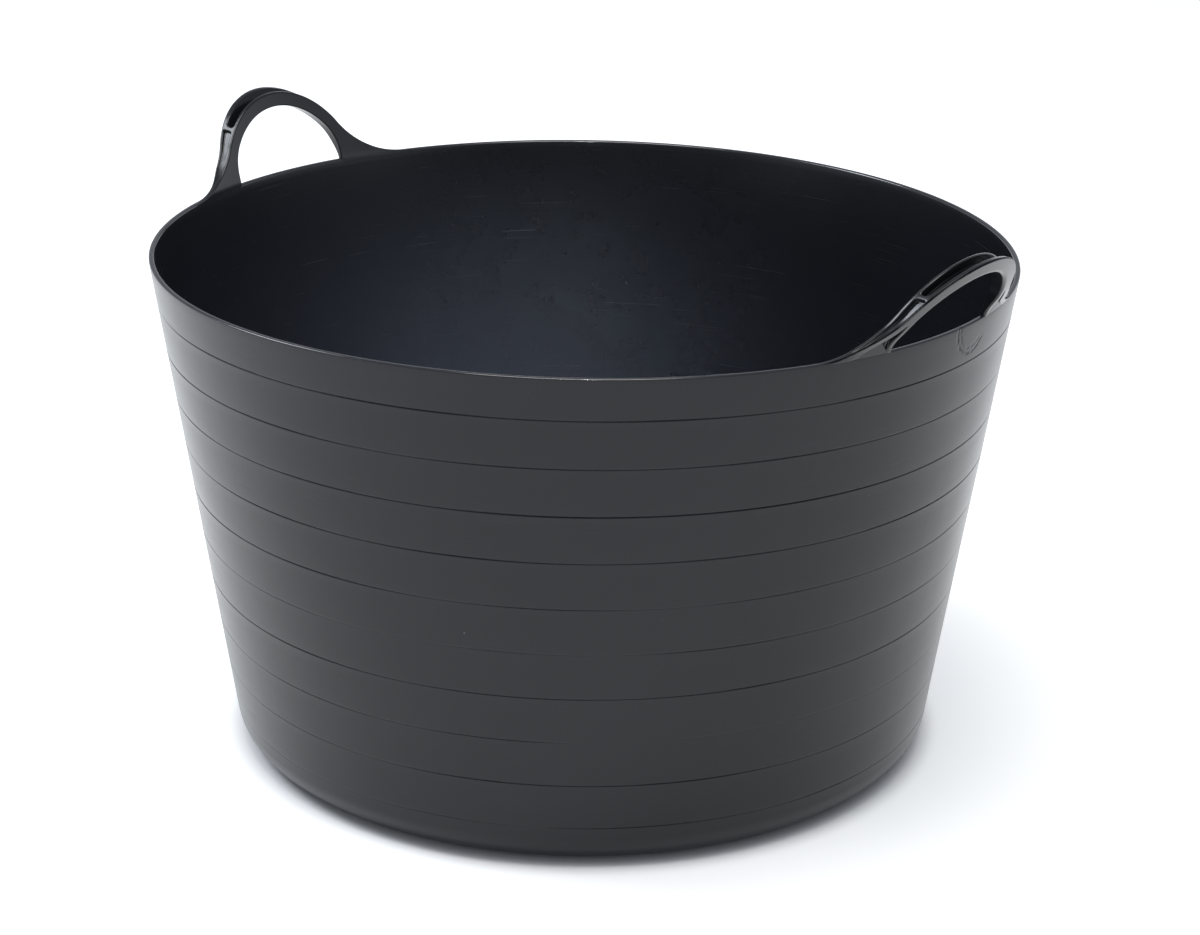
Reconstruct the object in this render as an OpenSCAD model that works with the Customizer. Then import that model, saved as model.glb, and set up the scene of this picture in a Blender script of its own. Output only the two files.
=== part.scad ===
// Flexible mixing tub. A tapered round tub with two loop handles on its rim.
// The real tub is one moulding, so it is divided here at its own moulded features.
// The origin is on the ground at the tub's axis, +Z is up and the handles lie along X.

/* [Tub] */
// Outside diameter of the rim
rim_d = 565; // [540:1:590]
// Height of the rim above the ground
tub_h = 335; // [320:1:350]
// Diameter at which the straight side would meet the ground
base_d = 469; // [450:1:490]
// Thickness of the side
wall_t = 3; // [2.5:0.1:4]
// Radius of the rounded heel, on the outside
heel_r = 25; // [15:1:30]

/* [Floor] */
// Thickness of the floor
floor_t = 4; // [3:0.5:6]
// Height of the raised middle of the floor above the foot ring
floor_raise = 1.5; // [1:0.5:3]
// Width of the foot ring that the tub stands on
foot_w = 16; // [12:1:24]

/* [Rim] */
// Height of the rim lip
lip_h = 6; // [5:0.5:10]
// How far the lip stands out from the side
lip_proud = 0.8; // [0.5:0.1:1.5]
// Width of the step along the lip's outer edge
ledge_w = 1.2; // [0.8:0.1:1.6]
// Depth of that step below the top of the lip
ledge_drop = 0.8; // [0.4:0.1:1.2]

/* [Ring lines] */
// Number of ring lines around the side
line_count = 10; // [1:1:10]
// Height of the lowest ring line
line_first = 29.5; // [28:0.5:32]
// Distance from one ring line to the next
line_pitch = 31; // [10:0.5:31]
// Depth of a ring line
line_depth = 0.7; // [0.3:0.1:1]

/* [Handles] */
// Height of a handle above the rim
handle_h = 54; // [50:1:60]
// Radius of the handle's arch, on the outside
arch_r = 63; // [61:1:66]
// Radius of the sweep from each leg into the rim
sweep_r = 60; // [50:1:70]
// Outward lean of the handle's inner face, per millimetre of height
inner_lean = 0.28; // [0.15:0.01:0.32]
// Outward lean of the handle's outer face, per millimetre of height
outer_lean = 0.47; // [0.45:0.01:0.55]
// Width of the hand hole
hole_w = 98; // [90:1:100]
// Height of the hand hole
hole_h = 44.5; // [42:0.5:46]
// Radius of the hand hole's shoulders
shoulder_r = 30; // [26:1:32]
// Height at which the hand hole's straight sides end
side_h = 5.75; // [5:0.25:8]
// Thickness of the rail on the inner side of the grip
inner_rail_t = 2.3; // [1.8:0.1:3]
// Thickness of the rail on the outer side of the grip
outer_rail_t = 3.4; // [2.8:0.1:4]
// Thickness of the web under the grip
web_t = 3; // [2:0.5:4]
// Half angle of the grip's open channel
channel_a = 43; // [40:1:43]
// Half angle at which the legs begin
leg_a = 46; // [46:1:48]

/* [Legs] */
// Thickness of the skin behind the pocket
skin_t = 3; // [2.5:0.1:3.5]
// Width of the rail that sweeps over the pocket
sweep_w = 4.5; // [3.5:0.5:5]
// Width of the strut beside the hand hole
strut_w = 5; // [4:0.5:6]
// Depth of the trough in the top of the leg, where it begins
trough_d = 5; // [3:0.5:5.5]
// Clearance between a leg and the rim that it turns against
leg_gap = 0.3; // [0.2:0.1:0.5]

/* [Hidden] */

fn_tub = 180;
arc_step = 4;
tub_colour = [0.13, 0.135, 0.145];
inside_colour = [0.10, 0.11, 0.12];
handle_colour = [0.17, 0.175, 0.185];
reach = 200;    // further than any cut has to go
slack = 1;      // how far a cutting shape runs past what it cuts

// The side: its slope, and the radius of its outer face at a height
rim_r = rim_d / 2;
base_r = base_d / 2;
slope = (rim_r - lip_proud - base_r) / tub_h;
flare_a = atan(slope);
wall_across = wall_t / cos(flare_a);
function side_r(z) = base_r + slope * z;

// The heel: an arc that touches the ground and the side
heel_x = base_r + heel_r * tan(flare_a) - heel_r / cos(flare_a);
function heel_point(r, a) = [heel_x + r * cos(a), heel_r + r * sin(a)];
heel_in = heel_r - wall_t;
heel_steps = 14;
function heel_arc(r) =
  [for (i = [0:heel_steps]) heel_point(r, -90 + (90 - flare_a) * i / heel_steps)];

// The foot ring, and the slope by which it carries the raised floor
foot_in = heel_x - foot_w;
floor_slope = 2 * floor_raise;
floor_r = foot_in - floor_slope;
floor_top = floor_t + floor_raise;

// Ring lines: each is a notch, steep above and shallow below
lip_z = tub_h - lip_h;
line_above = 0.4;
line_below = 1.4;
function ring_line(z) = [
  [side_r(z - line_below), z - line_below],
  [side_r(z) - line_depth, z],
  [side_r(z + line_above), z + line_above]
];

// The rim lip
rim_in = side_r(tub_h) - wall_across;
lip_top_in = 0.8;
lip_side = 3.4;
lip_back = 1.2;

// The handle's outline, in a plane with the rim's top as its zero height
arch_c = handle_h - arch_r;
sweep_x = sqrt(pow(arch_r + sweep_r, 2) - pow(sweep_r - arch_c, 2));
join_a = atan2(sweep_x, sweep_r - arch_c);
function on_arch(a, r) = [r * sin(a), arch_c + r * cos(a)];

// Points along an arc, whose angles are measured from straight up
function arc(centre, r, a0, a1) =
  let (n = ceil(abs(a1 - a0) / arc_step))
  [for (i = [0:n]) centre + r * [sin(a0 + (a1 - a0) * i / n), cos(a0 + (a1 - a0) * i / n)]];

// The hand hole: a top arc, two shoulders and straight sides
shoulder_x = hole_w / 2 - shoulder_r;
hole_rise = hole_h - side_h;
top_r = (pow(shoulder_x, 2) + pow(hole_rise, 2) - pow(shoulder_r, 2)) / (2 * (hole_rise - shoulder_r));
top_c = hole_h - top_r;
top_a = atan2(shoulder_x, side_h - top_c);

// The trough in the top of each leg: the wall on each side of it, and the point at which
// it runs out, where the leg has swept almost down to the rim
trough_wall_in = 2;
trough_wall_out = 2.5;
trough_end = [74, 6.5];
trough_lead = 1;    // how far it laps the grip's channel, in degrees

// The angle past which nothing of a leg is left
leg_end_a = 125;

module ring(points) {
  rotate_extrude($fn = fn_tub) polygon(points);
}

module floor_plate() {
  color(inside_colour)
    translate([0, 0, floor_raise]) cylinder(h = floor_t, r = floor_r, $fn = fn_tub);
}

module foot_ring() {
  color(inside_colour)
    ring([
      [floor_r, floor_raise],
      [foot_in, 0],
      [heel_x, 0],
      [heel_x, floor_t],
      [foot_in, floor_t],
      [floor_r, floor_top]
    ]);
}

module heel_band() {
  outer = heel_arc(heel_r);
  inner = heel_arc(heel_in);
  color(tub_colour)
    ring(concat(outer, [for (i = [heel_steps:-1:1]) inner[i]], [[heel_x, floor_t]]));
}

module side_wall() {
  lines = [for (i = [0:line_count - 1]) each ring_line(line_first + i * line_pitch)];
  color(tub_colour)
    ring(concat(
      [heel_point(heel_in, -flare_a), heel_point(heel_r, -flare_a)],
      lines,
      [[side_r(lip_z), lip_z], [side_r(lip_z) - wall_across, lip_z]]
    ));
}

module rim_lip() {
  color(tub_colour)
    ring([
      [side_r(lip_z) - wall_across, lip_z],
      [side_r(lip_z), lip_z],
      [side_r(tub_h - lip_side - lip_back), tub_h - lip_side - lip_back],
      [rim_r, tub_h - lip_side],
      [rim_r, tub_h - ledge_drop],
      [rim_r - ledge_w, tub_h - ledge_drop],
      [rim_r - ledge_w, tub_h],
      [rim_in + lip_top_in, tub_h],
      [rim_in, tub_h - lip_top_in]
    ]);
}

// The handle's outline, drawn in by a distance: the arch, and the sweeps into the rim
module outline(inset) {
  low_a = acos((sweep_r - leg_gap) / (sweep_r + inset));
  polygon(concat(
    arc([-sweep_x, sweep_r], sweep_r + inset, 180 - low_a, 180 - join_a),
    arc([0, arch_c], arch_r - inset, -join_a, join_a),
    arc([sweep_x, sweep_r], sweep_r + inset, join_a - 180, low_a - 180)
  ));
}

// The hand hole, grown by a distance
module hand_hole(grow) {
  polygon(concat(
    [[-hole_w / 2 - grow, -slack]],
    arc([-shoulder_x, side_h], shoulder_r + grow, -90, -top_a),
    arc([0, top_c], top_r + grow, -top_a, top_a),
    arc([shoulder_x, side_h], shoulder_r + grow, top_a, 90),
    [[hole_w / 2 + grow, -slack]]
  ));
}

// The part of the outline's plane between two angles from the top of the arch
module wedge(a0, a1) {
  polygon([[0, arch_c], for (a = [a0, (a0 + a1) / 2, a1]) on_arch(a, reach)]);
}

// The handle's two faces, as radii at a height above the rim, which both lean outwards
function inner_r(h) = rim_in + inner_lean * h;
function outer_r(h) = rim_r + outer_lean * h;

// The line of a face from below the rim to above the handle, moved into the plastic
face_ends = [-slack, handle_h + slack];
function inner_face(depth) = [for (h = face_ends) [inner_r(h) + depth, h]];
function outer_face(depth) = [for (h = face_ends) [outer_r(h) - depth, h]];

// The leaning ring between two such lines
module layer(inner, outer) {
  translate([0, 0, tub_h]) ring([inner[0], outer[0], outer[1], inner[1]]);
}

// Carries a drawing in the outline's plane out through the handle, along X
module through() {
  translate([rim_r / 2, 0, tub_h])
    rotate([90, 0, 90])
      linear_extrude(rim_r) children();
}

// The handle's outline less the hand hole, between two angles
module grip_part(a0, a1, inset) {
  intersection() {
    difference() {
      outline(inset);
      hand_hole(0);
    }
    wedge(a0, a1);
  }
}

// The step along the outer edge of the handle, which carries on the step of the lip
module ledge() {
  intersection() {
    layer(outer_face(ledge_w), outer_face(-slack));
    through() difference() {
      translate([-reach, 2 * leg_gap]) square([2 * reach, 2 * handle_h]);
      outline(ledge_drop);
    }
  }
}

module inner_rail() {
  color(handle_colour)
    intersection() {
      layer(inner_face(0), inner_face(inner_rail_t));
      through() grip_part(-leg_a, leg_a, 0);
    }
}

module outer_rail() {
  color(handle_colour)
    difference() {
      intersection() {
        layer(outer_face(outer_rail_t), outer_face(0));
        through() grip_part(-leg_a, leg_a, 0);
      }
      ledge();
    }
}

module grip_web() {
  color(handle_colour)
    intersection() {
      layer(inner_face(inner_rail_t), outer_face(outer_rail_t));
      through() intersection() {
        difference() {
          hand_hole(web_t);
          hand_hole(0);
        }
        wedge(-channel_a, channel_a);
      }
    }
}

module end_web() {
  color(handle_colour)
    intersection() {
      layer(inner_face(inner_rail_t), outer_face(outer_rail_t));
      through() grip_part(channel_a, leg_a, ledge_drop);
    }
}

module leg() {
  color(handle_colour)
    difference() {
      intersection() {
        layer(inner_face(0), outer_face(0));
        through() intersection() {
          outline(0);
          wedge(leg_a, leg_end_a);
        }
      }
      through() hand_hole(0);
      ledge();
      pocket();
      trough();
    }
}

// The pocket in the outer face of a leg, between the sweeping rail and the strut
module pocket() {
  intersection() {
    layer(inner_face(skin_t), outer_face(-slack));
    through() difference() {
      outline(sweep_w);
      hand_hole(strut_w);
    }
  }
}

// The trough in the top of a leg, which carries on the channel of the grip. Its two walls
// come together towards the rim.
module trough() {
  meet_h = (rim_in + trough_wall_in - rim_r + trough_wall_out) / (outer_lean - inner_lean);
  start_a = leg_a - trough_lead;
  intersection() {
    translate([0, 0, tub_h])
      ring([
        [inner_r(meet_h) + trough_wall_in, meet_h],
        outer_face(trough_wall_out)[1],
        inner_face(trough_wall_in)[1]
      ]);
    through() polygon([
      on_arch(start_a, arch_r - trough_d),
      trough_end,
      [trough_end[0], handle_h],
      on_arch(start_a, arch_r + handle_h)
    ]);
  }
}

// Turns a piece of the right handle about to the left one
module on_left() rotate([0, 0, 180]) children();

// Sets a piece that is drawn on the +Y side over to the -Y side
module other_side() mirror([0, 1, 0]) children();

floor_plate();
foot_ring();
heel_band();
side_wall();
rim_lip();
inner_rail();  // right_inner_rail
outer_rail();  // right_outer_rail
grip_web();  // right_grip_web
other_side() end_web();  // right_front_end_web
end_web();  // right_back_end_web
other_side() leg();  // right_front_leg
leg();  // right_back_leg
on_left() inner_rail();  // left_inner_rail
on_left() outer_rail();  // left_outer_rail
on_left() grip_web();  // left_grip_web
on_left() end_web();  // left_front_end_web
on_left() other_side() end_web();  // left_back_end_web
on_left() leg();  // left_front_leg
on_left() other_side() leg();  // left_back_leg
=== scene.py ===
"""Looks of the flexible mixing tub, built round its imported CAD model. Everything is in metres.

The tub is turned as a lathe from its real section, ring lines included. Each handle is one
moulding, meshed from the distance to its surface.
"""
import math
import bpy
import numpy as np
from mathutils import Matrix, Vector


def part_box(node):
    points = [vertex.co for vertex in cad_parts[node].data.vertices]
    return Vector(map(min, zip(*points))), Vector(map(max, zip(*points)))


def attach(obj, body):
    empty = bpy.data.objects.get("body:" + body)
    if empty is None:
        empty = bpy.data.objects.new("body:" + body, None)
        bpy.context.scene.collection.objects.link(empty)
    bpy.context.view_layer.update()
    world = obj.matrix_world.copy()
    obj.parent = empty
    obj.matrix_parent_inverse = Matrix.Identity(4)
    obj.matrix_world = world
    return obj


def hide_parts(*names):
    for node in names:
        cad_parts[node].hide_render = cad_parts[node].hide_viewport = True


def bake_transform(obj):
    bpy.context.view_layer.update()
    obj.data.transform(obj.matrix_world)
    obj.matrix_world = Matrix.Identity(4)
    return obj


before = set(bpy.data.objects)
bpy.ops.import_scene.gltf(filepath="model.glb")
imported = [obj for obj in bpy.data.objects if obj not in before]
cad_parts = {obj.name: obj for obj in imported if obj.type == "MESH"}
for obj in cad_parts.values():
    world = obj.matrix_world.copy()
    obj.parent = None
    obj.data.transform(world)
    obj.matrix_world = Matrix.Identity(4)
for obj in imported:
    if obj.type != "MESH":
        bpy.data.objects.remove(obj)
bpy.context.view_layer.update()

MM = 0.001


# ---------------------------------------------------------------- sizes, from the frame

lip_low, lip_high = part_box("rim_lip")
wall_low, wall_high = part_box("side_wall")
heel_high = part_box("heel_band")[1]
foot_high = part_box("foot_ring")[1]
plate_low, plate_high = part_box("floor_plate")
grip_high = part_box("right_inner_rail")[1]

RIM_R = lip_high.x
TUB_H = lip_high.z
LIP_Z = lip_low.z
HEEL_TOP = wall_low.z
# The slopes of the CAD's side, and of a straight line from the heel to the lip's outer edge
SLOPE = (wall_high.x - heel_high.x) / (LIP_Z - HEEL_TOP)
SIDE_SLOPE = (RIM_R - heel_high.x) / (TUB_H - HEEL_TOP)
FLARE = math.atan(SLOPE)
WALL_T = 3.0 * MM
WALL_ACROSS = WALL_T / math.cos(FLARE)
FOOT_R = foot_high.x
HEEL_R = HEEL_TOP / (1 - math.sin(FLARE))
PLATE_R = plate_high.x
FLOOR_RAISE = plate_low.z
FLOOR_TOP = plate_high.z
HANDLE_H = grip_high.z - TUB_H


def side_r(z):
    """Radius of the side's outer face at a height: it runs straight up to the lip's edge."""
    return RIM_R + SIDE_SLOPE * (z - TUB_H)


def inside_r(z):
    """Radius of the side's inner face at a height."""
    return wall_high.x + SLOPE * (z - LIP_Z) - WALL_ACROSS


# ---------------------------------------------------------------- the tub's slack shape

# Each is the size of a cosine and a sine wave round the rim, counted from SLACK_TURN
SLACK_TURN = math.radians(39.8)
OVAL = (0.0059, 0.0040)           # how far out of round it is, as shares of its radius
WARP = (-1.08 * MM, 0.18 * MM)    # how far it rises and dips twice on the way round
TILT = (-2.7 * MM, 0.35 * MM)     # and how far it leans over as a whole


def slacken(points):
    """Puts the slight ovalness and warp of a soft tub into points, most at the rim."""
    x, y, z = points[:, 0], points[:, 1], points[:, 2]
    a = np.arctan2(y, x) - SLACK_TURN
    share = np.clip(z / TUB_H, 0, 1)
    grow = 1 + share * (OVAL[0] * np.cos(2 * a) + OVAL[1] * np.sin(2 * a))
    lift = WARP[0] * np.cos(2 * a) + WARP[1] * np.sin(2 * a)
    lift = lift + TILT[0] * np.cos(a) + TILT[1] * np.sin(a)
    return np.stack([x * grow, y * grow, z + share * lift], axis=-1)


# ---------------------------------------------------------------- mesh helpers

def new_object(name, points, faces, sharp=None):
    """A smooth-shaded mesh object from points and faces."""
    mesh = bpy.data.meshes.new(name)
    mesh.from_pydata([tuple(p) for p in points], [], faces)
    mesh.validate()
    mesh.shade_smooth()
    if sharp is not None:
        mesh.set_sharp_from_angle(angle=math.radians(sharp))
    obj = bpy.data.objects.new(name, mesh)
    bpy.context.scene.collection.objects.link(obj)
    return obj


def lathe(name, section, turns=360, wobble=None):
    """Turns a closed section of (radius, height) points. A point at radius 0 is a pole."""
    section = np.array(section, float)
    angles = np.arange(turns) * 2 * math.pi / turns
    points, index = [], []
    for r, z in section:
        if r < 1e-9:
            index.append([len(points)] * turns)
            points.append([0.0, 0.0, z])
            continue
        index.append(list(range(len(points), len(points) + turns)))
        radii = np.full(turns, r) if wobble is None else r + wobble(angles, r, z)
        points += [[rr * math.cos(a), rr * math.sin(a), z] for rr, a in zip(radii, angles)]
    faces = []
    for i in range(len(section)):
        low, high = index[i], index[(i + 1) % len(section)]
        for k in range(turns):
            m = (k + 1) % turns
            corners = [low[k], low[m], high[m], high[k]]
            face = [c for j, c in enumerate(corners) if c not in corners[:j]]
            if len(face) > 2:
                faces.append(face)
    return new_object(name, slacken(np.array(points)), faces, sharp=40)


def arc_points(centre, radius, a0, a1, steps):
    """Points along an arc in the section's plane, angles in radians from +radius."""
    return [(centre[0] + radius * math.cos(a), centre[1] + radius * math.sin(a))
            for a in np.linspace(a0, a1, steps + 1)]


def rounded(corners, steps=5):
    """A closed outline from (radius, height, fillet) corners, with each corner rounded."""
    out = []
    n = len(corners)
    for i, (x, z, fillet) in enumerate(corners):
        here = Vector((x, z))
        before = Vector(corners[i - 1][:2]) - here
        after = Vector(corners[(i + 1) % n][:2]) - here
        if fillet <= 0:
            out.append((x, z))
            continue
        half = before.angle(after) / 2
        reach = min(fillet / math.tan(half), 0.48 * before.length, 0.48 * after.length)
        start, end = here + before.normalized() * reach, here + after.normalized() * reach
        for t in np.linspace(0, 1, steps + 1):
            p = start * (1 - t) ** 2 + here * 2 * t * (1 - t) + end * t ** 2
            out.append((p.x, p.y))
    return out


# ---------------------------------------------------------------- the tub's three sections

LINE_COUNT = 10
LINE_FIRST = 29.5 * MM
LINE_PITCH = 31.0 * MM
LINE_DEPTH = 0.55 * MM
# A ring line's section: millimetres above its deepest point, and its share of the depth there
LINE_SECTION = [(-1.4, 0.0), (-1.0, -0.12), (-0.6, 0.0), (-0.38, 0.3), (-0.16, 0.85), (0.0, 1.0),
                (0.12, 0.9), (0.24, 0.45), (0.36, 0.08), (0.8, 0.0)]
WOBBLE = 0.28 * MM         # how far the soft side strays from a true cone
SWELL_BLUNTNESS = 0.7      # below 1 the straying sets in sooner at the side's two ends
HARMONICS = range(2, 9)
# How strong the ring lines are: the lowest one, what the highest one gains on it, how each
# comes and goes as (times on the way round, size), and the faintest and strongest allowed
LINE_BASE = 0.34
LINE_GAIN = 0.42
LINE_WAVES = ((1, 0.22), (3, 0.16), (11, 0.14))
LINE_RANGE = (0.12, 1.15)

rng = np.random.default_rng(11)
wobble_waves = [(k, rng.uniform(0.4, 1) / k, rng.uniform(0, 6.28), rng.uniform(2, 9))
                for k in HARMONICS]
line_waves = rng.uniform(0, 6.28, (LINE_COUNT, len(LINE_WAVES)))


def uneven_side(angles, r, z):
    """How a soft moulded side strays from a true cone, and how its ring lines come and go."""
    share = min(max((z - HEEL_TOP) / (LIP_Z - HEEL_TOP), 0), 1)
    swell = math.sin(math.pi * share) ** SWELL_BLUNTNESS
    move = sum(size * np.sin(k * angles + start + turn * share)
               for k, size, start, turn in wobble_waves) * WOBBLE * swell
    depth = side_r(z) - r
    on_outside = depth < WALL_T / 2
    if on_outside:
        line = int(round((z - LINE_FIRST) / LINE_PITCH))
        starts = line_waves[min(max(line, 0), LINE_COUNT - 1)]
        strength = LINE_BASE + LINE_GAIN * line / LINE_COUNT
        for (times, size), start in zip(LINE_WAVES, starts):
            strength = strength + size * np.sin(times * angles + start)
        move = move + depth * (1 - np.clip(strength, *LINE_RANGE))
    return move


def make_side():
    """The tapered side, with its ring lines, from the heel up to the rim lip."""
    outer = [(side_r(HEEL_TOP), HEEL_TOP)]
    for i in range(LINE_COUNT):
        z = LINE_FIRST + i * LINE_PITCH
        for above, depth in LINE_SECTION:
            at = z + above * MM
            outer.append((side_r(at) - depth * LINE_DEPTH, at))
        after = LINE_FIRST + (i + 1) * LINE_PITCH
        steps = [z + t * (after - z) for t in (0.25, 0.5, 0.75)]
        outer += [(side_r(at), at) for at in steps if at < LIP_Z - 2 * MM]
    outer.append((side_r(LIP_Z), LIP_Z))
    inner = [(inside_r(z), z) for z in np.linspace(LIP_Z, HEEL_TOP, 30)]
    side = lathe("tub_side", outer + inner, wobble=uneven_side)
    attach(side, "tub")
    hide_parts("side_wall")
    return side


LIP_EDGE = 1.1 * MM
LIP_INNER_EDGE = 1.5 * MM


def make_rim():
    """The lip, flush with the side and with rounded edges."""
    section = rounded([
        (side_r(LIP_Z), LIP_Z, 0),
        (RIM_R, TUB_H, LIP_EDGE),
        (inside_r(TUB_H), TUB_H, LIP_INNER_EDGE),
        (inside_r(LIP_Z), LIP_Z, 0),
    ])
    rim = lathe("tub_rim", section)
    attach(rim, "tub")
    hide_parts("rim_lip")
    return rim


# The floor's inside drops at its edge to a shallow gutter over the foot ring
GUTTER_DROP = 1.2 * MM
GUTTER_FALL = 0.2 * MM
GUTTER_FILLET = 3.0 * MM
HEEL_INSIDE_END = math.radians(-78)
# The gate mark in the floor's middle: a shallow dish with a nub in it
DISH_R = 9.0 * MM
DISH_DEPTH = 0.5 * MM
NUB_R = 3.0 * MM
NUB_H = 0.5 * MM


def make_floor():
    """The floor with its foot ring and the rounded heel."""
    foot_in = PLATE_R + 2 * FLOOR_RAISE
    heel_centre = (FOOT_R, HEEL_R)
    outer = arc_points(heel_centre, HEEL_R, -math.pi / 2, -FLARE, 26)
    inner = arc_points(heel_centre, HEEL_R - WALL_T, -FLARE, HEEL_INSIDE_END, 22)
    gate = [(DISH_R, FLOOR_TOP), (DISH_R - 1 * MM, FLOOR_TOP - DISH_DEPTH),
            (NUB_R, FLOOR_TOP - DISH_DEPTH), (NUB_R - 0.8 * MM, FLOOR_TOP + 0.3 * MM),
            (0, FLOOR_TOP + NUB_H)]
    slope = rounded([
        (FOOT_R + 4 * MM, FLOOR_TOP - GUTTER_DROP - GUTTER_FALL, 0),
        (foot_in + 4 * MM, FLOOR_TOP - GUTTER_DROP, GUTTER_FILLET),
        (PLATE_R - 2 * MM, FLOOR_TOP, GUTTER_FILLET),
        (PLATE_R - 14 * MM, FLOOR_TOP, 0),
    ], steps=6)
    flat = [(r, FLOOR_TOP) for r in np.linspace(PLATE_R - 24 * MM, DISH_R + 5 * MM, 14)]
    under = [(0, FLOOR_RAISE), (PLATE_R / 2, FLOOR_RAISE), (PLATE_R - 1 * MM, FLOOR_RAISE),
             (PLATE_R + 0.5 * MM, FLOOR_RAISE * 0.8), (foot_in - 0.6 * MM, 0.15 * MM), (foot_in, 0)]
    floor = lathe("tub_floor", under + outer + inner + slope + flat + gate)
    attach(floor, "tub")
    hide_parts("floor_plate", "foot_ring", "heel_band")
    return floor


# ---------------------------------------------------------------- the handles
# Each handle is worked out in millimetres: t runs along the rim from the handle's middle,
# h is the height above the rim, and r is the distance from the tub's axis.

ARCH_R = 63.0
SWEEP_R = 60.0
ARCH_C = HANDLE_H / MM - ARCH_R
SWEEP_X = math.sqrt((ARCH_R + SWEEP_R) ** 2 - (SWEEP_R - ARCH_C) ** 2)
JOIN_A = math.atan2(SWEEP_X, SWEEP_R - ARCH_C)
INNER_LEAN = 0.28
OUTER_LEAN = 0.47
OUTER_FULL = 1.6       # how much fuller the outer face stands above its foot
OUTER_TALLER = 1.5     # how much further out the outer rail's outline runs than the inner's
HOLE_HALF = 49.0
HOLE_H = 44.5
SHOULDER_R = 30.0
HOLE_SIDE_H = 5.75
SHOULDER_X = HOLE_HALF - SHOULDER_R
HOLE_RISE = HOLE_H - HOLE_SIDE_H
HOLE_TOP_R = (SHOULDER_X ** 2 + HOLE_RISE ** 2 - SHOULDER_R ** 2) / (2 * (HOLE_RISE - SHOULDER_R))
HOLE_TOP_C = HOLE_H - HOLE_TOP_R
HOLE_TOP_A = math.atan2(SHOULDER_X, HOLE_SIDE_H - HOLE_TOP_C)
INNER_RAIL = 2.6
OUTER_RAIL = 4.4
WEB = 3.0              # between the channel's floor and the hand hole
CHANNEL_A = math.radians(43)
LEG_A = math.radians(46)
TROUGH_IN = 2.8        # the walls inside and outside the leg's trough
TROUGH_OUT = 1.9
TROUGH_D = 1.4         # how deep it is, and how much deeper it starts beside the grip
TROUGH_EXTRA = 1.2
SWEEP_RAIL = 4.5
STRUT = 5.0
RECESS_D = 0.1         # how far the recess lies inside the tub's side at the rim
RECESS_LEAN = 0.16     # and how far it leans out for each millimetre up
SKIN = 1.8             # what is left behind the pocket
ROOT_DEPTH = 2.6       # how far a handle's foot reaches down into the rim
ROOT_SINK = 0.25       # how fast its outer face sinks into the lip on the way down
FOOT_END = 106.0       # where the last of a foot lies along the rim
PROUD = 0.03           # how far a foot stands over the rim that it lies on
OUTER_TRUE = 0.92      # turns a distance along r into one across the leaning outer face
LEDGE_W = 1.2          # the fine step along the outer edge, and the crease at its root
LEDGE_DROP = 0.8
CREASE_R = 0.36
POCKET_T, POCKET_H = 55.0, 2.5                # a point on the pocket's sloping lower edge
POCKET_RUN, POCKET_CLIMB = 7.0 / 11, 8.5 / 11  # and the way it runs, along t and along h
RIM_IN_MM = inside_r(TUB_H) / MM
RIM_R_MM = RIM_R / MM


def round_and(a, b, radius):
    """The solid inside both a and b, given as distances, its edge rounded."""
    corner = np.hypot(np.maximum(radius + a, 0), np.maximum(radius + b, 0))
    return np.minimum(-radius, np.maximum(a, b)) + corner


def rise(x, width):
    """Nothing while x is below 0 and x above it, with a soft bend between."""
    return (x + np.hypot(x, width)) / 2


def ease(x, start, end):
    """From 0 at start to 1 at end, smoothly."""
    s = np.clip((x - start) / (end - start), 0, 1)
    return s * s * (3 - 2 * s)


def inner_face(h):
    """Radius of a handle's inner face, which carries on the inside of the tub."""
    return RIM_IN_MM - PROUD + SLOPE * h + (INNER_LEAN - SLOPE) * rise(h - 1.5, 1.5)


def outer_face(h):
    """Radius of a handle's outer face, which rises from the lip's edge and sinks into it below."""
    lean = (SIDE_SLOPE + ROOT_SINK) * np.minimum(h, 0) + OUTER_LEAN * rise(h - 0.4, 1.0)
    return RIM_R_MM + PROUD + lean + OUTER_FULL * ease(h, 2, 14)


def past_outline(t, h):
    """Distance outside the handle's outline: the arch, then the sweep into the rim."""
    a = np.arctan2(t, h - ARCH_C)
    arch = np.hypot(t, h - ARCH_C) - ARCH_R
    sweep = SWEEP_R - np.hypot(t - SWEEP_X, h - SWEEP_R)
    return np.where(a < JOIN_A, arch, np.where(t < SWEEP_X, sweep, h)) - PROUD


def past_hole(t, h):
    """Distance outside the hand hole."""
    a = np.arctan2(t, h - HOLE_TOP_C)
    top = np.hypot(t, h - HOLE_TOP_C) - HOLE_TOP_R
    shoulder = np.hypot(t - SHOULDER_X, h - HOLE_SIDE_H) - SHOULDER_R
    side = t - HOLE_HALF
    return np.where(a < HOLE_TOP_A, top, np.where(h > HOLE_SIDE_H, shoulder, side))


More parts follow.
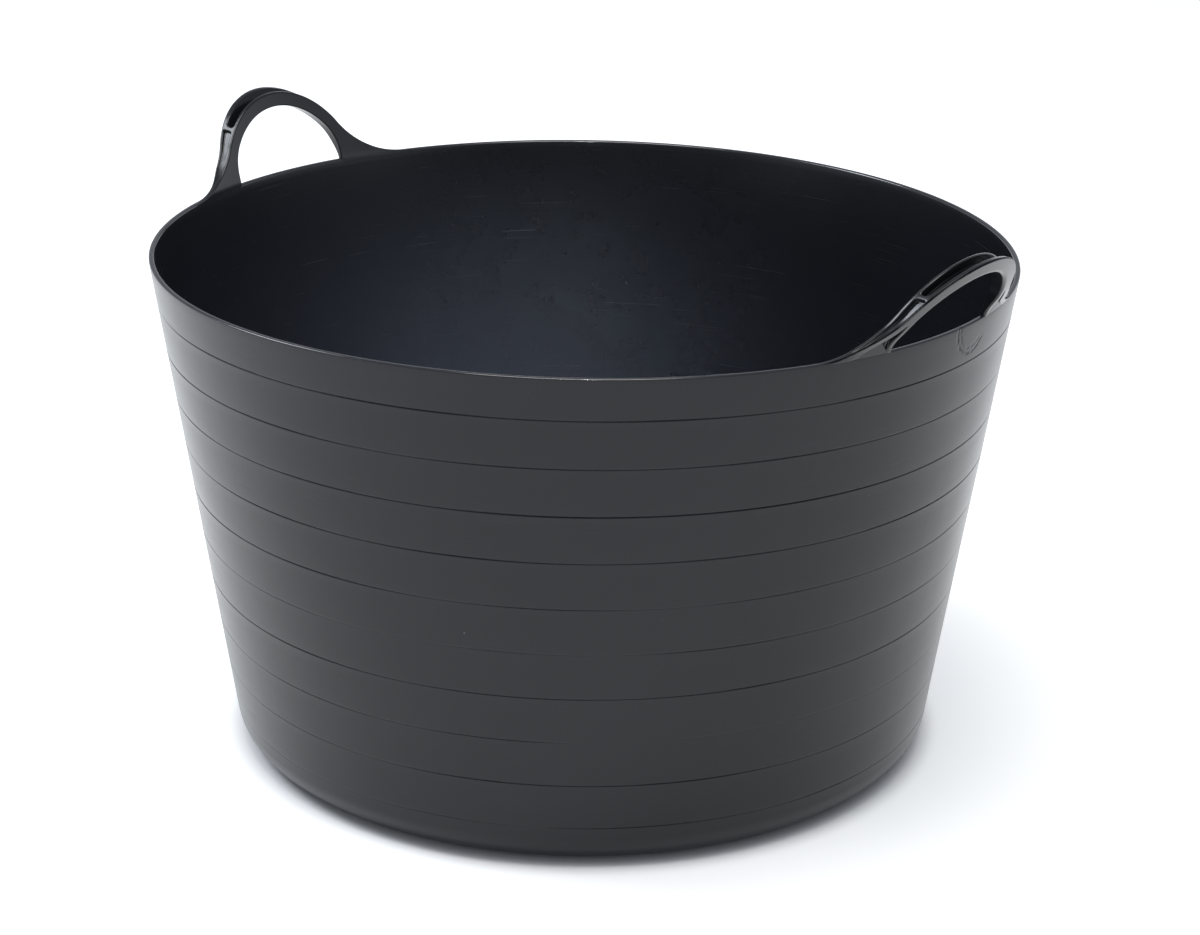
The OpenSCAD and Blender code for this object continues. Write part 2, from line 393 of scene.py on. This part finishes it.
def handle_distance(p):
    """Distance outside the handle's surface at points (t, h, r).

    Each round_and ends with the radius of the edge that it makes.
    """
    t, h, r = np.abs(p[..., 0]), p[..., 1], p[..., 2]
    a = np.arctan2(t, h - ARCH_C)
    hole = past_hole(t, h)
    inner = inner_face(h) - r
    outer = (r - outer_face(h)) * OUTER_TRUE
    across = np.clip(inner / (inner_face(h) - outer_face(h)), 0, 1)
    line = past_outline(t, h)
    outline = line - OUTER_TALLER * across * ease(h, 1, 14)

    # The bar of the arch and its two legs, fully rounded inside, crisper outside
    solid = round_and(outline, inner, 1.0)
    solid = round_and(solid, outer, 0.5)
    solid = round_and(solid, -hole, 0.9 + 1.3 * across)

    # The grip's open channel, over the web, with a rounded end
    walls = round_and(inner + INNER_RAIL, r - outer_face(h) + OUTER_RAIL, 0.5)
    walls = round_and(walls, (a - CHANNEL_A) * ARCH_R, 2.3)
    channel = round_and(walls, WEB - hole, 1.0)
    solid = round_and(solid, -channel, 0.95 - 0.35 * across)

    # The trough down the top of the leg, which runs out towards the rim
    walls = round_and(inner + TROUGH_IN, r - outer_face(h) + TROUGH_OUT, 0.8)
    walls = round_and(walls, (LEG_A - a) * ARCH_R, 1.8)
    depth = TROUGH_EXTRA * (1 - ease(t, 49, 60)) + TROUGH_D * (1 - ease(t, 62, 94))
    trough = round_and(walls, -outline - depth, 0.8)
    solid = round_and(solid, -trough, 0.7)

    # The recess under the sweeping rail, whose floor carries on the tub's side, and the
    # three-cornered pocket sunk in it beside the strut
    frame_in = round_and(line + SWEEP_RAIL, STRUT - hole, 1.2)
    recess = round_and(frame_in, RIM_R_MM - RECESS_D + RECESS_LEAN * h - r, 0.5)
    solid = round_and(solid, -recess, 0.5)
    below = (t - POCKET_T) * POCKET_CLIMB - (h - POCKET_H) * POCKET_RUN
    pocket = round_and(round_and(frame_in, below, 0.9), inner_face(h) + SKIN - r, 0.8)
    solid = round_and(solid, -pocket, 0.4)

    # The fine step along the outer edge, with a crease at its root
    step = np.maximum(-outline - LEDGE_DROP, -outer - LEDGE_W)
    solid = round_and(solid, -step, 0.25)
    crease = np.hypot(outline + LEDGE_DROP, outer + LEDGE_W + 0.05) - CREASE_R
    solid = round_and(solid, -crease, 0.15)
    solid = np.maximum(solid, -ROOT_DEPTH - h)
    return np.maximum(solid, t - FOOT_END)


ALONG_STEP = 0.62      # the lattice's steps along the outline, across its fine edge, and inward
EDGE_STEP = 0.24
INWARD_STEP = 0.56
SKIN_STEP = 0.25       # and in from the outer face, where the fine shapes are


def handle_lattice():
    """Points (t, h, r) that follow the handle: along its outline, in from it, and across."""
    half = (ARCH_R + SWEEP_R) * JOIN_A + FOOT_END - SWEEP_X + 1.2
    along = np.linspace(-half, half, 2 * int(half / ALONG_STEP) + 1)
    inward = np.concatenate([np.arange(-2.4, 2.1, EDGE_STEP), np.arange(2.2, 24.5, INWARD_STEP)])
    s = np.abs(along)[:, None]
    n = inward[None, :]
    arch_a = np.minimum(s / ARCH_R, JOIN_A)
    sweep_a = JOIN_A - np.clip((s - ARCH_R * JOIN_A) / SWEEP_R, 0, JOIN_A)
    past = np.maximum(s - (ARCH_R + SWEEP_R) * JOIN_A, 0)
    on_arch = s < ARCH_R * JOIN_A
    t = np.where(on_arch, (ARCH_R - n) * np.sin(arch_a),
                 SWEEP_X - (SWEEP_R + n) * np.sin(sweep_a) + past)
    h = np.where(on_arch, ARCH_C + (ARCH_R - n) * np.cos(arch_a),
                 SWEEP_R - (SWEEP_R + n) * np.cos(sweep_a))
    near = np.arange(-0.6, 2.5, SKIN_STEP)
    rest = np.linspace(0, 1, 26)[1:]
    inner, outer = inner_face(h) - 0.6, outer_face(h)
    r_near = outer[..., None] - near
    r_rest = r_near[..., -1:] + rest * (inner - r_near[..., -1])[..., None]
    r = np.concatenate([r_near, r_rest], axis=-1)
    t = np.broadcast_to((t * np.sign(along)[:, None])[..., None], r.shape)
    return np.stack([t, np.broadcast_to(h[..., None], r.shape), r], axis=-1)


def part(axis, low, high):
    """An index that takes a lattice from low to high along one axis."""
    return tuple(slice(low, high) if k == axis else slice(None) for k in range(3))


def surface_net(values, places):
    """The zero surface in a lattice: a point in each cell that it crosses, joined by quads."""
    shape = tuple(n - 1 for n in values.shape)
    total, count = np.zeros(shape + (3,)), np.zeros(shape)
    crossings = []
    for axis in range(3):
        low, high = part(axis, None, -1), part(axis, 1, None)
        a, b = values[low], values[high]
        cross = (a < 0) != (b < 0)
        crossings.append((cross, a < 0))
        share = np.where(cross, a / np.where(cross, a - b, 1), 0)[..., None]
        point = (places[low] + share * (places[high] - places[low])) * cross[..., None]
        u, v = [k for k in range(3) if k != axis]
        for i in (0, 1):
            for j in (0, 1):
                at = [slice(None)] * 3
                at[u] = slice(i, i + shape[u])
                at[v] = slice(j, j + shape[v])
                total += point[tuple(at)]
                count += cross[tuple(at)]
    used = count > 0
    number = np.cumsum(used.ravel()).reshape(shape) - 1
    points = total[used] / count[used][:, None]
    faces = []
    for axis in range(3):
        cross, first_in = crossings[axis]
        u, v = [(axis + 1) % 3, (axis + 2) % 3]
        at = np.argwhere(cross)
        at = at[(at[:, u] > 0) & (at[:, u] < shape[u]) & (at[:, v] > 0) & (at[:, v] < shape[v])]
        corners = []
        for du, dv in ((1, 1), (0, 1), (0, 0), (1, 0)):
            cell = at.copy()
            cell[:, u] -= du
            cell[:, v] -= dv
            corners.append(number[tuple(cell.T)])
        quads = np.stack(corners, axis=-1)
        flip = ~first_in[tuple(at.T)]
        quads[flip] = quads[flip][:, ::-1]
        faces.append(quads)
    return points, np.concatenate(faces)


SETTLE_STEPS = 3
SETTLE_PROBE = 0.02    # how far off the distance is sampled for its slope
SETTLE_MOST = 0.25     # the furthest that one step moves a point


def settle(points, distance):
    """Moves points on to the surface that distance describes."""
    for _ in range(SETTLE_STEPS):
        value = distance(points)
        slope = np.stack([
            (distance(points + SETTLE_PROBE * axis) - distance(points - SETTLE_PROBE * axis))
            / (2 * SETTLE_PROBE)
            for axis in np.eye(3)
        ], axis=-1)
        move = -value[:, None] * slope / np.maximum((slope ** 2).sum(-1), 0.2)[:, None]
        length = np.linalg.norm(move, axis=-1)[:, None]
        points = points + move * np.minimum(1, SETTLE_MOST / np.maximum(length, 1e-9))
    return points


def handle_mesh():
    """Points (t, h, r) and quads of a whole handle."""
    lattice = handle_lattice()
    points, quads = surface_net(handle_distance(lattice), lattice)
    return settle(points, handle_distance), quads


# The soft handles don't stand alike: the right one leans out a little, in full from LEAN_RISE
REST_LEAN = {"right": math.radians(5), "left": 0.0}
LEAN_RISE = 20 * MM


def make_handle(side, sign, points, quads):
    """One handle. sign is +1 for the right one and -1 for the left, turned half about."""
    t, h, r = points.T * MM
    x = np.sqrt(r ** 2 - t ** 2)
    root_x = np.sqrt(RIM_R ** 2 - t ** 2)
    lean = REST_LEAN[side] * ease(h, 0, LEAN_RISE)
    x, h = (root_x + (x - root_x) * np.cos(lean) + h * np.sin(lean),
            h * np.cos(lean) - (x - root_x) * np.sin(lean))
    placed = slacken(np.stack([sign * x, sign * t, TUB_H + h], axis=-1))
    obj = new_object(f"{side}_handle_moulding", placed, quads.tolist())
    parts = ("inner_rail", "outer_rail", "grip_web", "front_end_web", "back_end_web",
             "front_leg", "back_leg")
    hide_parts(*(f"{side}_{name}" for name in parts))
    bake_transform(obj)
    return obj


side = make_side()
rim = make_rim()
floor = make_floor()
handle_points, handle_quads = handle_mesh()
handles = [make_handle("right", 1, handle_points, handle_quads),
           make_handle("left", -1, handle_points, handle_quads)]


# ---------------------------------------------------------------- materials

class Graph:
    """A node tree, built with short calls that each return a socket."""

    def __init__(self, tree):
        self.tree = tree

    def put(self, socket, value):
        """Joins a socket to another, or sets its value."""
        if isinstance(value, bpy.types.NodeSocket):
            self.tree.links.new(value, socket)
        elif value is not None:
            socket.default_value = value

    def node(self, kind, inputs=(), **settings):
        """A new node with its inputs joined or set. This one returns the node."""
        made = self.tree.nodes.new(kind)
        for key, value in settings.items():
            setattr(made, key, value)
        for key, value in dict(inputs).items():
            self.put(made.inputs[key], value)
        return made

    def math(self, operation, a, b=None):
        made = self.node("ShaderNodeMath", operation=operation)
        self.put(made.inputs[0], a)
        self.put(made.inputs[1], b)
        return made.outputs[0]

    def add(self, *values):
        total = values[0]
        for value in values[1:]:
            total = self.math("ADD", total, value)
        return total

    def times(self, *values):
        total = values[0]
        for value in values[1:]:
            total = self.math("MULTIPLY", total, value)
        return total

    def remap(self, value, low, high, to_low=0.0, to_high=1.0):
        made = self.node("ShaderNodeMapRange", {"Value": value, "From Min": low, "From Max": high,
                                                "To Min": to_low, "To Max": to_high},
                         interpolation_type="SMOOTHSTEP")
        return made.outputs["Result"]

    def axis(self, vector, letter):
        return self.node("ShaderNodeSeparateXYZ", {"Vector": vector}).outputs[letter]

    def noise(self, vector, scale, detail=2.0, rough=0.5):
        made = self.node("ShaderNodeTexNoise", {"Vector": vector, "Scale": scale,
                                                "Detail": detail, "Roughness": rough})
        return made.outputs["Fac"]

    def stretch(self, vector, scale, turn=0.0):
        made = self.node("ShaderNodeMapping", {"Vector": vector, "Scale": scale,
                                               "Rotation": (0.0, 0.0, turn)})
        return made.outputs["Vector"]

    def mix(self, share, a, b):
        made = self.node("ShaderNodeMix", data_type="RGBA")
        self.put(made.inputs["Factor"], share)
        self.put(made.inputs["A"], a)
        self.put(made.inputs["B"], b)
        return made.outputs["Result"]

    def bump(self, height, distance, normal=None):
        made = self.node("ShaderNodeBump", {"Height": height, "Distance": distance,
                                            "Normal": normal})
        return made.outputs["Normal"]


def new_material(name):
    """A material, the graph of its node tree, and its shader's inputs."""
    material = bpy.data.materials.new(name)
    material.use_nodes = True
    tree = material.node_tree
    return material, Graph(tree), tree.nodes["Principled BSDF"].inputs


# How fine the patterns are, in turns per metre
SWELL_SCALE = 9.0
STREAK_SCALE = (4.0, 4.0, 260.0)
MOTTLE_SCALE = 48.0
GRAIN_SCALE = 1400.0
HAIR_SCALE = (9.0, 1500.0, 1.0)
PATCH_SCALE = (14.0, 14.0, 1.0)
SPECK_SCALE = 95.0
BREAK_SCALE = 190.0
# How high they stand
SWELL_BUMP = 0.6 * MM
STREAK_BUMP = 0.03 * MM
GRAIN_BUMP = 0.004 * MM
MARK_BUMP = 0.35 * MM
# How much they move the roughness
SWELL_SHEEN = 0.06
MOTTLE_SHEEN = 0.01
STREAK_SHEEN = 0.04
SCRATCH_SHEEN = 0.10
KINK_SHEEN = 0.10

TONE_SPREAD = 0.03         # how much the mottle lightens and darkens the colour
SCRATCH_TURNS = (0.35, 1.25, 2.1, 2.8)
# Where the soft side has been squeezed below the right handle. KINK_TURN is in radians from
# the handle's middle, and KINK_SLANT ends the arcs lower on the side away from that middle.
KINK_TURN = 0.125
KINK_DROP = 3.0 * MM
KINK_RADII = (20.0 * MM, 16.5 * MM)
KINK_WIDTH = 2.2 * MM
KINK_SLANT = 0.45
KINK_SECOND = 0.6          # the inner arc's strength beside the outer one's
POLISH_SMOOTHER = 0.12     # what handling takes off the roughness of the lip's edge
POLISH_SHINE = 0.68        # and what it adds to its reflection


def kink_mask(g, flat, around, height):
    """Two smile-shaped kinks, on the side unrolled flat."""
    middle = (KINK_TURN * RIM_R, TUB_H - KINK_DROP, 0.0)
    reach = g.node("ShaderNodeVectorMath", {0: flat, 1: middle}, operation="DISTANCE")
    arcs = [g.remap(g.math("ABSOLUTE", g.add(reach.outputs["Value"], -radius)),
                    0.0, KINK_WIDTH, 1.0, 0.0) for radius in KINK_RADII]
    slant = g.times(g.add(g.times(around, RIM_R), -KINK_TURN * RIM_R), KINK_SLANT)
    below = g.remap(g.add(height, KINK_DROP - TUB_H, slant), -9.0 * MM, -3.0 * MM, 1.0, 0.0)
    breaks = g.remap(g.noise(flat, BREAK_SCALE), 0.36, 0.56)
    return g.times(g.math("MAXIMUM", arcs[0], g.times(arcs[1], KINK_SECOND)), below, breaks)


def scratch_mask(g, flat):
    """Hairline scratches at several slants, thinned out in patches."""
    scratches = None
    for turn in SCRATCH_TURNS:
        hair = g.noise(g.stretch(flat, HAIR_SCALE, turn), 1.0, 1.0)
        patch = g.noise(g.stretch(flat, PATCH_SCALE, turn * 3), 1.0, 1.0)
        line = g.times(g.remap(hair, 0.71, 0.75), g.remap(patch, 0.54, 0.70))
        scratches = line if scratches is None else g.math("MAXIMUM", scratches, line)
    return scratches


def speck_mask(g, place):
    """Dust that sits on the surface as fine pale specks, in a few of the cells."""
    cells = g.node("ShaderNodeTexVoronoi", {"Vector": place, "Scale": SPECK_SCALE}).outputs
    chance = g.node("ShaderNodeSeparateColor", {"Color": cells["Color"]}).outputs[0]
    return g.times(g.remap(cells["Distance"], 0.03, 0.065, 1.0, 0.0),
                   g.remap(chance, 0.975, 0.985))


def moulded_black(name, colour, dusty, roughness, reflect, wear, polished=False):
    """Satin black polyethylene: flow marks from the mould, grain, scratches, kinks and dust."""
    material, g, shader = new_material(name)
    coords = g.node("ShaderNodeTexCoord").outputs
    place = coords["Object"]
    height = g.axis(place, "Z")
    around = g.math("ARCTAN2", g.axis(place, "Y"), g.axis(place, "X"))
    flat = g.node("ShaderNodeCombineXYZ", {"X": g.times(around, RIM_R), "Y": height}).outputs[0]

    # The moulding: slow swells in the sheen, streaks that ran round the mould, and a fine grain
    swell = g.noise(place, SWELL_SCALE)
    streak = g.noise(g.stretch(place, STREAK_SCALE), 1.0, 3.0, 0.6)
    mottle = g.noise(place, MOTTLE_SCALE, 4.0, 0.6)
    grain = g.noise(place, GRAIN_SCALE)

    scratches = scratch_mask(g, flat)
    kinks = kink_mask(g, flat, around, height)
    speck = speck_mask(g, place)

    # The lip's outer edge, polished by handling
    edge = 0.0
    if polished:
        upward = g.axis(coords["Normal"], "Z")
        edge = g.times(g.remap(upward, 0.15, 0.40), g.remap(upward, 0.80, 0.95, 1.0, 0.0))

    darker = (*[c * (1 - TONE_SPREAD) for c in colour], 1)
    lighter = (*[c * (1 + TONE_SPREAD) for c in colour], 1)
    tone = g.mix(g.remap(mottle, 0.3, 0.7), darker, lighter)
    pale = g.math("MAXIMUM", g.times(speck, 0.85), g.times(scratches, 0.05 * wear))
    g.put(shader["Base Color"], g.mix(pale, tone, (*dusty, 1)))

    sheen = g.add(g.times(g.add(swell, -0.5), SWELL_SHEEN),
                  g.times(g.add(mottle, -0.5), MOTTLE_SHEEN),
                  g.times(g.add(streak, -0.5), STREAK_SHEEN),
                  g.times(edge, -POLISH_SMOOTHER), g.times(scratches, SCRATCH_SHEEN * wear),
                  g.times(kinks, KINK_SHEEN), roughness)
    g.put(shader["Roughness"], sheen)
    g.put(shader["Specular IOR Level"],
          g.add(g.times(kinks, -0.5 * reflect), g.times(edge, POLISH_SHINE), reflect))

    normal = g.bump(swell, SWELL_BUMP)
    normal = g.bump(streak, STREAK_BUMP, normal)
    normal = g.bump(grain, GRAIN_BUMP, normal)
    marks = g.add(g.times(kinks, -0.8), g.times(scratches, -0.12 * wear), g.times(speck, 0.5))
    g.put(shader["Normal"], g.bump(marks, MARK_BUMP, normal))
    return material


TUB_LOOK = {"colour": (0.0076, 0.0083, 0.0108), "dusty": (0.16, 0.16, 0.165),
            "roughness": 0.25, "reflect": 0.32, "wear": 0.7}
HANDLE_LOOK = {"colour": (0.0082, 0.0088, 0.0110), "dusty": (0.15, 0.15, 0.155),
               "roughness": 0.20, "reflect": 0.46, "wear": 1.0}

tub_plastic = moulded_black("tub_plastic", **TUB_LOOK)
lip_plastic = moulded_black("lip_plastic", **TUB_LOOK, polished=True)
handle_plastic = moulded_black("handle_plastic", **HANDLE_LOOK)
side.data.materials.append(tub_plastic)
floor.data.materials.append(tub_plastic)
rim.data.materials.append(lip_plastic)
for piece in handles:
    piece.data.materials.append(handle_plastic)


# ---------------------------------------------------------------- floor, light and camera

FLOOR_HALF = 40.0
FLOOR_COLOUR = (0.93, 0.93, 0.93, 1)
# The pale table glows evenly, but its glow is faded out around the tub's foot as a painted contact
# shadow
FLOOR_GLOW = 0.52
GLOW_COLOUR = (0.97, 0.99, 1.0, 1)
PAINTED_SHADOW_FADE_START = FOOT_R + 12 * MM
PAINTED_SHADOW_FADE_END = FOOT_R + 36 * MM

# The camera stands at AZIMUTH round from -Y, DISTANCE from a point on the tub's axis
AZIMUTH = math.radians(40)
ELEVATION = math.radians(20.32)
DISTANCE = 1.943
AIM_Z = 0.1787
YAW = -0.0060
ROLL = 0.0109
SENSOR_MM = 36
LENS_MM = 86.2

# The studio's white walls, and how much of them is dimmed: behind the camera and high up
WALLS = (1.00, 1.03, 1.10, 1)
WALLS_DIM = (0.34, 0.36, 0.40, 1)
DIM_BEHIND = (0.45, 0.85)  # from and to, as the cosine of the angle off the way to the camera
DIM_ABOVE = (0.10, 0.34)   # from and to, as the height of the direction
DIM_TILT = 0.3             # how far up that way points


def make_stage():
    """The pale table top, its glow faded out around the tub's foot as a painted contact shadow."""
    corners = [(x * FLOOR_HALF, y * FLOOR_HALF, 0)
               for x, y in ((-1, -1), (1, -1), (1, 1), (-1, 1))]
    ground = new_object("studio_floor", corners, [(0, 1, 2, 3)])
    material, g, shader = new_material("studio_floor")
    place = g.node("ShaderNodeTexCoord").outputs["Object"]
    distance = g.node("ShaderNodeVectorMath", {0: place}, operation="LENGTH").outputs["Value"]
    g.put(shader["Base Color"], FLOOR_COLOUR)
    g.put(shader["Roughness"], 0.9)
    g.put(shader["Specular IOR Level"], 0.0)
    g.put(shader["Emission Color"], GLOW_COLOUR)
    # No glow close to the tub's foot, fading in further out: a painted contact shadow on the floor
    g.put(shader["Emission Strength"], g.remap(distance, PAINTED_SHADOW_FADE_START, PAINTED_SHADOW_FADE_END, 0.0, FLOOR_GLOW))
    ground.data.materials.append(material)


def area_light(name, position, aim, size, energy, colour):
    """A rectangular softbox at a position, turned to face aim. Energy is in watts."""
    light = bpy.data.lights.new(name, "AREA")
    light.shape = "RECTANGLE"
    light.size, light.size_y = size
    light.energy = energy
    light.color = colour
    obj = bpy.data.objects.new(name, light)
    obj.location = position
    obj.rotation_euler = (Vector(aim) - Vector(position)).to_track_quat("-Z", "Y").to_euler()
    bpy.context.scene.collection.objects.link(obj)
    return obj


def make_light():
    """A white studio that is dimmer behind the camera and high up, with softboxes overhead, at
    the left and, gridded, over the inside."""
    toward = Vector((math.sin(AZIMUTH), -math.cos(AZIMUTH), 0))
    across = Vector((math.cos(AZIMUTH), math.sin(AZIMUTH), 0))
    world = bpy.data.worlds.new("studio")
    bpy.context.scene.world = world
    world.use_nodes = True
    g = Graph(world.node_tree)
    way = g.node("ShaderNodeTexCoord").outputs["Generated"]
    behind = (toward + Vector((0, 0, DIM_TILT))).normalized()
    facing = g.node("ShaderNodeVectorMath", {0: way, 1: behind}, operation="DOT_PRODUCT")
    dim = g.math("MAXIMUM", g.remap(facing.outputs["Value"], *DIM_BEHIND),
                 g.remap(g.axis(way, "Z"), *DIM_ABOVE))
    g.put(world.node_tree.nodes["Background"].inputs["Color"], g.mix(dim, WALLS, WALLS_DIM))

    area_light("overhead_softbox", position=(0.2, -0.3, 2.6), aim=(0, 0, 0),
               size=(1.3, 1.3), energy=36, colour=(1.0, 0.98, 0.96))
    gridded = area_light("inside_softbox", position=toward * 0.98 + Vector((0, 0, 1.12)),
                         aim=toward * -0.25 + across * -0.06 + Vector((0, 0, 0.085)),
                         size=(0.2, 0.05), energy=1.1, colour=(0.88, 0.95, 1.0))
    gridded.data.spread = math.radians(16)
    area_light("left_softbox", position=across * -1.65 - toward * 0.35 + Vector((0, 0, 1.87)),
               aim=(0, 0, 0.3), size=(0.95, 0.95), energy=25, colour=(0.88, 0.93, 1.0))


def make_camera():
    """The photograph's camera, turned a little off its aim by YAW and about it by ROLL."""
    data = bpy.data.cameras.new("camera")
    data.sensor_width = SENSOR_MM
    data.lens = LENS_MM
    camera = bpy.data.objects.new("camera", data)
    flat = DISTANCE * math.cos(ELEVATION)
    camera.location = (flat * math.sin(AZIMUTH), -flat * math.cos(AZIMUTH),
                       AIM_Z + DISTANCE * math.sin(ELEVATION))
    forward = Vector((0, math.cos(ELEVATION), -math.sin(ELEVATION)))
    forward.rotate(Matrix.Rotation(AZIMUTH + YAW, 3, "Z"))
    right = forward.cross(Vector((0, 0, 1))).normalized()
    up = right.cross(forward)
    turned_right = math.cos(ROLL) * right + math.sin(ROLL) * up
    turned_up = -math.sin(ROLL) * right + math.cos(ROLL) * up
    camera.rotation_euler = Matrix((turned_right, turned_up, -forward)).transposed().to_euler()
    bpy.context.scene.collection.objects.link(camera)
    bpy.context.scene.camera = camera


make_stage()
make_light()
make_camera()
bpy.context.scene.view_settings.view_transform = "Standard"
